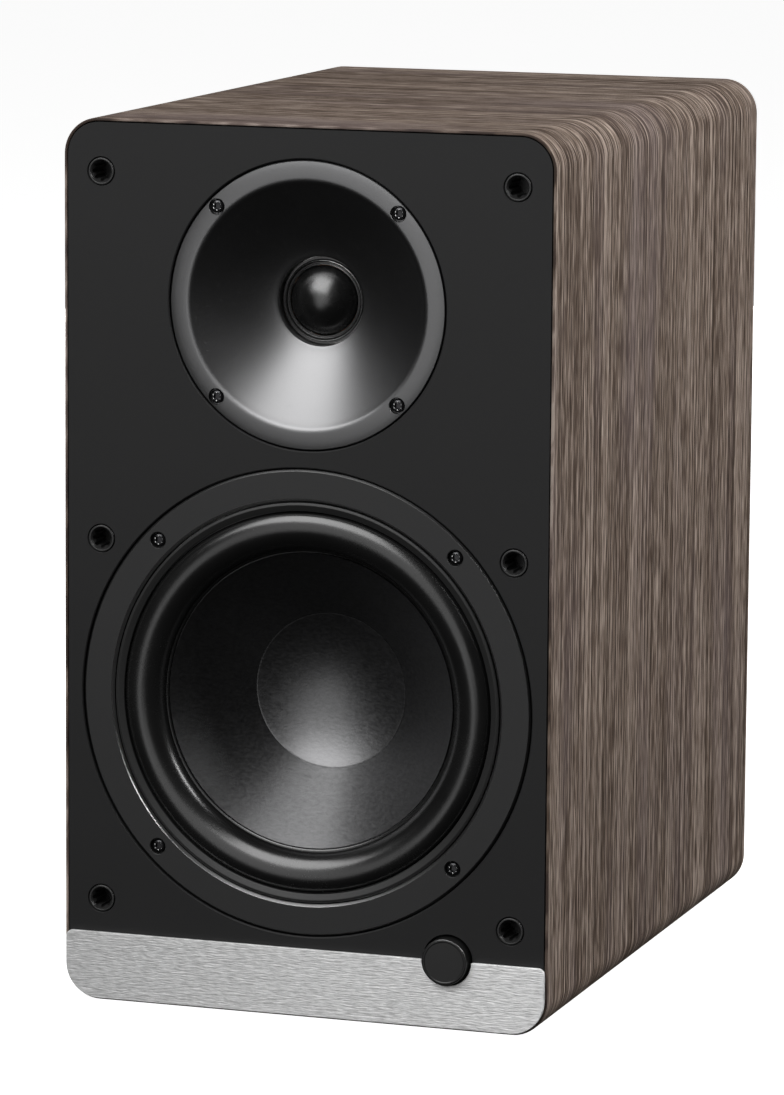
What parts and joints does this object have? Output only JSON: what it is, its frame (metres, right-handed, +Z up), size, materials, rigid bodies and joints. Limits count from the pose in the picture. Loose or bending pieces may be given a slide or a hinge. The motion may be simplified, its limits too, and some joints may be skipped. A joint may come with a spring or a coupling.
{
  "type": "bookshelf speaker",
  "caption": "Compact powered two-way bookshelf speaker: wood-wrapped box, horn-loaded dome tweeter over a woofer, metal trim plate with volume knob.",
  "frame": {"origin": "middle of the cabinet's underside", "axes": "+Z up, the front baffle faces -Y, +X to the right seen from the front"},
  "size_m": [0.14, 0.2258, 0.245],
  "materials": {
    "wood_wrap": "satin walnut-look foil with a fine straight grain",
    "black_board": "satin black paint on fibreboard",
    "bare_board": "raw fibreboard",
    "satin_plastic": "satin black moulding",
    "gloss_plastic": "gloss black moulding",
    "cone": "satin dark grey cone with a fine grain",
    "rubber": "satin black rubber",
    "silk": "coated black silk",
    "brushed_aluminium": "fine brushing along its length",
    "zinc_steel": "zinc plated",
    "black_steel": "satin black coating",
    "ferrite": "dull grey ceramic",
    "copper": "enamelled copper wire",
    "circuit_board": "green glass-fibre board",
    "gold_plate": "gold plated brass",
    "red_plastic": "clear red moulding",
    "wadding": "loose polyester fibre",
    "spider_cloth": "resin-dipped woven cloth"
  },
  "bodies": {
    "cabinet": {"amp_plate": "black_steel", "cabinet_shell": "wood_wrap", "crossover_board": "circuit_board", "damping_wadding": "wadding", "encoder_body": "zinc_steel", "front_baffle": "black_board", "grille_socket_left_bottom": "rubber", "grille_socket_left_middle": "rubber", "grille_socket_left_top": "rubber", "grille_socket_right_bottom": "rubber", "grille_socket_right_middle": "rubber", "grille_socket_right_top": "rubber", "hdmi_socket": "zinc_steel", "heat_sink": "brushed_aluminium", "main_board": "circuit_board", "mains_inlet": "satin_plastic", "optical_socket": "satin_plastic", "port_tube": "satin_plastic", "power_supply": "circuit_board", "rca_sockets": "gold_plate", "rear_panel": "black_board", "speaker_post_black": "gold_plate", "speaker_post_red": "gold_plate", "trim_plate": "brushed_aluminium", "tweeter_magnet": "ferrite", "tweeter_screw_1": "black_steel", "tweeter_screw_2": "black_steel", "tweeter_screw_3": "black_steel", "tweeter_screw_4": "black_steel", "tweeter_surround": "rubber", "tweeter_top_plate": "zinc_steel", "tweeter_waveguide": "satin_plastic", "tweeter_yoke": "zinc_steel", "usb_socket": "zinc_steel", "window_brace": "bare_board", "woofer_basket": "black_steel", "woofer_gasket_ring": "satin_plastic", "woofer_magnet": "ferrite", "woofer_screw_1": "black_steel", "woofer_screw_2": "black_steel", "woofer_screw_3": "black_steel", "woofer_screw_4": "black_steel", "woofer_spider": "spider_cloth", "woofer_surround": "rubber", "woofer_top_plate": "zinc_steel", "woofer_yoke": "zinc_steel"},
    "volume_plunger": {"encoder_plunger": "satin_plastic"},
    "volume_control": {"volume_knob": "gloss_plastic", "encoder_shaft": "brushed_aluminium"},
    "woofer_diaphragm": {"woofer_cone": "cone", "woofer_dust_cap": "cone", "woofer_voice_coil": "copper"},
    "tweeter_diaphragm": {"tweeter_dome": "silk", "tweeter_voice_coil": "copper"},
    "rocker": {"power_rocker": "gloss_plastic"},
    "channel_slider": {"channel_switch_slider": "satin_plastic"},
    "red_washer": {"post_washer_red": "gold_plate"},
    "red_nut": {"post_nut_red": "red_plastic"},
    "black_washer": {"post_washer_black": "gold_plate"},
    "black_nut": {"post_nut_black": "gloss_plastic"}
  },
  "joints": [
    {"name": "volume_press", "type": "slide", "parent": "cabinet", "child": "volume_plunger", "axis": [0, 1, 0], "range_m": [0, 0.0008], "stiffness_N_per_m": 3000},
    {"name": "volume_turn", "type": "hinge", "parent": "volume_plunger", "child": "volume_control", "pos_m": [0.0416, -0.1015, 0.0194], "axis": [0, 1, 0], "continuous": true},
    {"name": "woofer_stroke", "type": "slide", "parent": "cabinet", "child": "woofer_diaphragm", "axis": [0, 1, 0], "range_m": [-0.004, 0.004], "stiffness_N_per_m": 1200, "deforming": ["woofer_surround", "woofer_spider"]},
    {"name": "tweeter_stroke", "type": "slide", "parent": "cabinet", "child": "tweeter_diaphragm", "axis": [0, 1, 0], "range_m": [-0.0003, 0.0003], "stiffness_N_per_m": 1500, "deforming": ["tweeter_surround"]},
    {"name": "rocker_tilt", "type": "hinge", "parent": "cabinet", "child": "rocker", "pos_m": [0.018, 0.103, 0.042], "axis": [1, 0, 0], "range_deg": [-24, 0]},
    {"name": "channel_slide", "type": "slide", "parent": "cabinet", "child": "channel_slider", "axis": [1, 0, 0], "range_m": [0, 0.0045]},
    {"name": "red_washer_travel", "type": "slide", "parent": "cabinet", "child": "red_washer", "axis": [0, 1, 0], "range_m": [0, 0.004]},
    {"name": "red_nut_turn", "type": "hinge", "parent": "red_washer", "child": "red_nut", "pos_m": [0.0095, 0.1033, 0.076], "axis": [0, 1, 0], "range_deg": [0, 1810]},
    {"name": "black_washer_travel", "type": "slide", "parent": "cabinet", "child": "black_washer", "axis": [0, 1, 0], "range_m": [0, 0.004]},
    {"name": "black_nut_turn", "type": "hinge", "parent": "black_washer", "child": "black_nut", "pos_m": [-0.0095, 0.1033, 0.076], "axis": [0, 1, 0], "range_deg": [0, 1810]}
  ],
  "couplings": [
    {"joint": "red_nut_turn", "follows": "red_washer_travel", "rad_per_m": 7854},
    {"joint": "black_nut_turn", "follows": "black_washer_travel", "rad_per_m": 7854}
  ]
}
